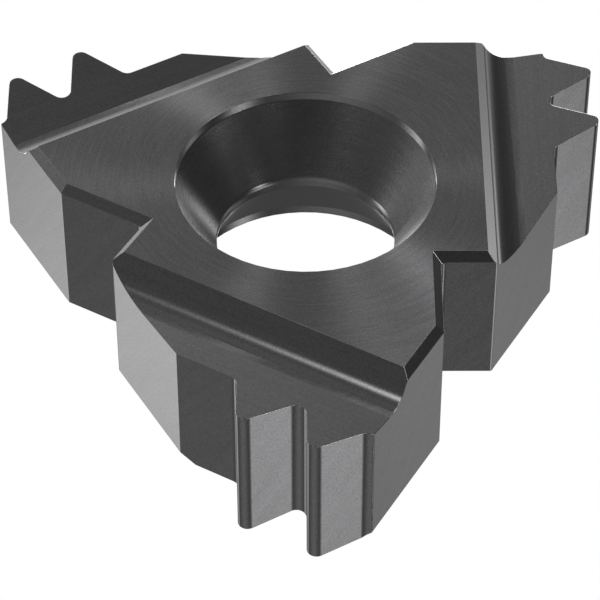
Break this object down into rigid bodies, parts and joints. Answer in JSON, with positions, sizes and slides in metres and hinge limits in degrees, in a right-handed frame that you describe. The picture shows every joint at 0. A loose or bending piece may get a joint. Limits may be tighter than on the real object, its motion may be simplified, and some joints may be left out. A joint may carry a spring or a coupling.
{
  "type": "threading insert",
  "caption": "Three-cornered indexable threading insert with two full-form teeth on each corner, chip grooves, locating notches and a central screw hole.",
  "frame": {"origin": "on the axis of the screw hole, in the plane of the seat face", "axes": "+Z along the screw hole, from the seat face towards the face with the chip grooves; +X to the right and +Y away from the picture's camera, with one corner's teeth turned to the front left"},
  "size_m": [0.0143, 0.0132, 0.004],
  "materials": {
    "coated_carbide": "satin"
  },
  "bodies": {
    "root": {"insert": "coated_carbide"}
  },
  "joints": []
}
